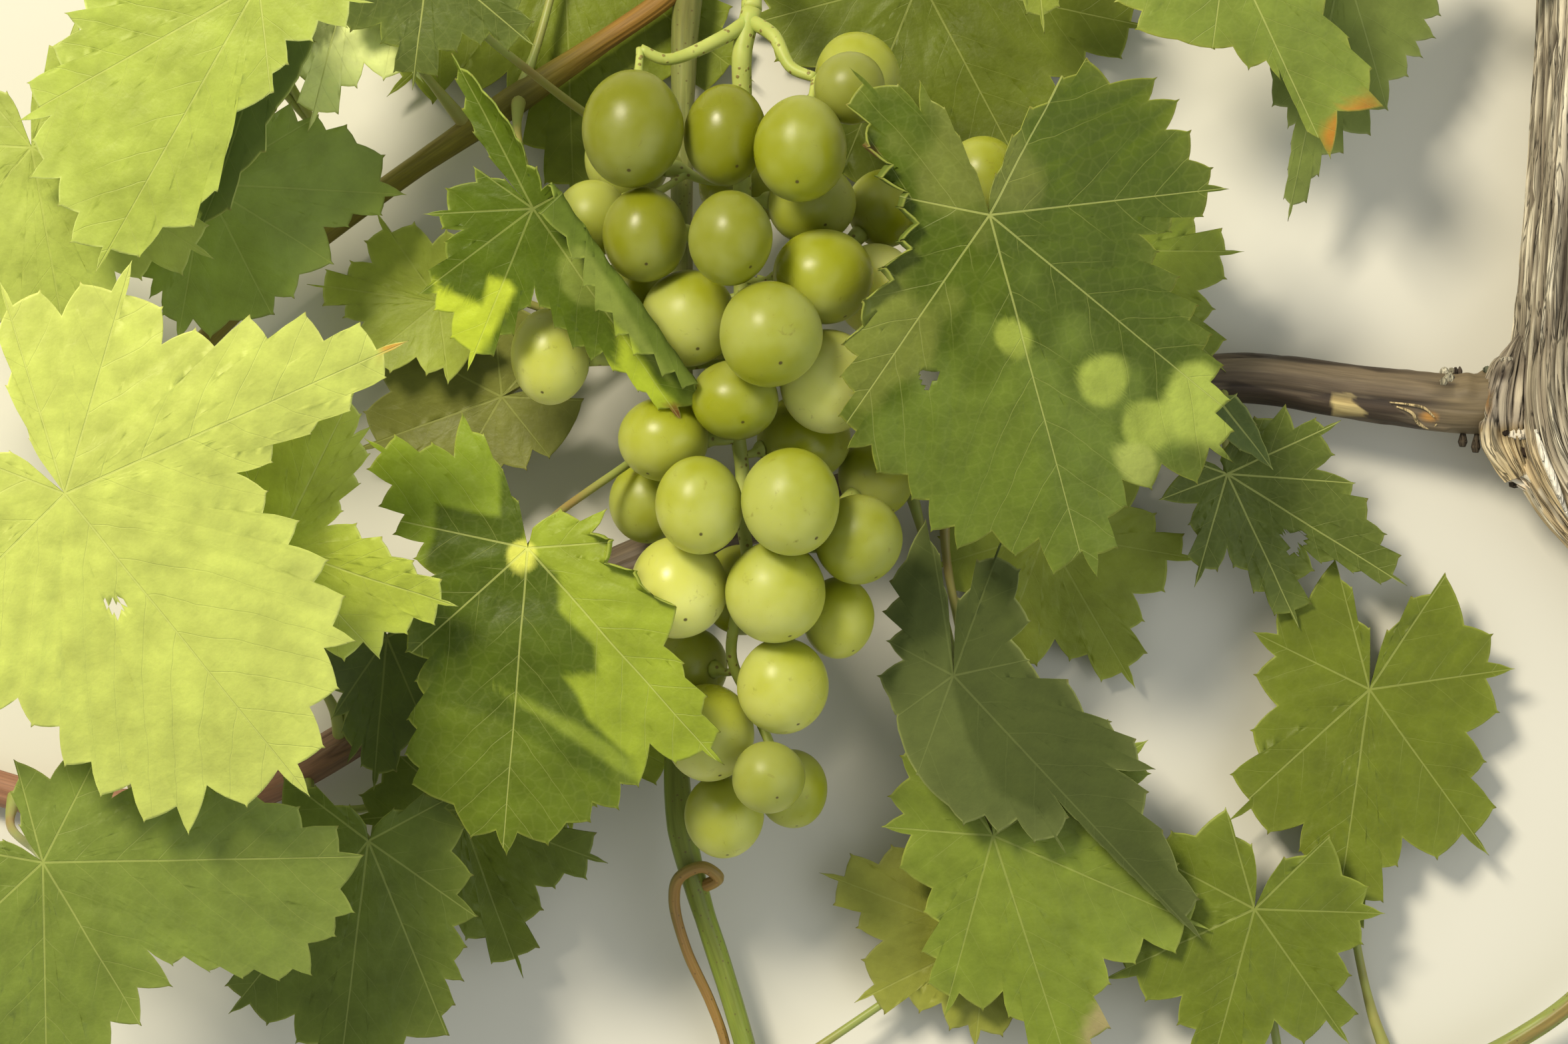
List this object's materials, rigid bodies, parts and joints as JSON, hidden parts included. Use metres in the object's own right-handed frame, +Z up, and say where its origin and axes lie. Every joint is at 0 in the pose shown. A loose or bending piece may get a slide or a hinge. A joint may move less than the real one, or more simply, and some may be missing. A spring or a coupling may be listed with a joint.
{
  "type": "cut grapevine length with a bunch of grapes",
  "caption": "Cut length of grapevine laid on its back: short trunk, woody arm, side cane, green shoots, tendril, lobed toothed leaves and a bunch of green grapes.",
  "frame": {"origin": "centre of the underside of the bounding box, on the ground that the piece lies on", "axes": "+X along the arm towards the trunk, +Y from the bunch's tip to its stalk, +Z up from the ground"},
  "size_m": [0.3816, 0.261, 0.0956],
  "materials": {
    "bark": "rough shredding bark",
    "cane": "fibrous brown bark",
    "shoot": "smooth green shoot",
    "bunch": "green stalk with satin berries",
    "leaf": "satin leaf",
    "berry": "satin skin with bloom"
  },
  "bodies": {
    "root": {"trunk": "bark", "arm": "cane", "side_cane": "cane", "shoot_up": "shoot", "shoot_down": "shoot", "top_shoot": "shoot", "base_shoot": "shoot", "tendril": "shoot", "bunch_stalk": "bunch", "leaf_large_right": "leaf", "leaf_left_of_bunch": "leaf", "leaf_beside_bunch": "leaf", "leaf_near_left": "leaf", "leaf_behind_near_left": "leaf", "leaf_top_left": "leaf", "leaf_shaded_upper_left": "leaf", "leaf_far_left": "leaf", "leaf_top_bright": "leaf", "leaf_top_dark": "leaf", "leaf_behind_top": "leaf", "leaf_behind_top_right": "leaf", "leaf_behind_large": "leaf", "leaf_eroded": "leaf", "leaf_top_right": "leaf", "leaf_top_right_underside": "leaf", "leaf_underside_right": "leaf", "leaf_olive_right": "leaf", "leaf_bottom_right": "leaf", "leaf_bottom_far_right": "leaf", "leaf_far_right": "leaf", "leaf_behind_right": "leaf", "leaf_lower_left": "leaf", "leaf_bottom_left": "leaf", "leaf_behind_centre": "leaf", "leaf_behind_left": "leaf", "grape_01": "berry", "grape_02": "berry", "grape_03": "berry", "grape_04": "berry", "grape_05": "berry", "grape_06": "berry", "grape_07": "berry", "grape_08": "berry", "grape_09": "berry", "grape_10": "berry", "grape_11": "berry", "grape_12": "berry", "grape_13": "berry", "grape_14": "berry", "grape_15": "berry", "grape_16": "berry", "grape_17": "berry", "grape_18": "berry", "grape_19": "berry", "grape_20": "berry", "grape_21": "berry", "grape_22": "berry", "grape_23": "berry", "grape_24": "berry"}
  },
  "joints": []
}
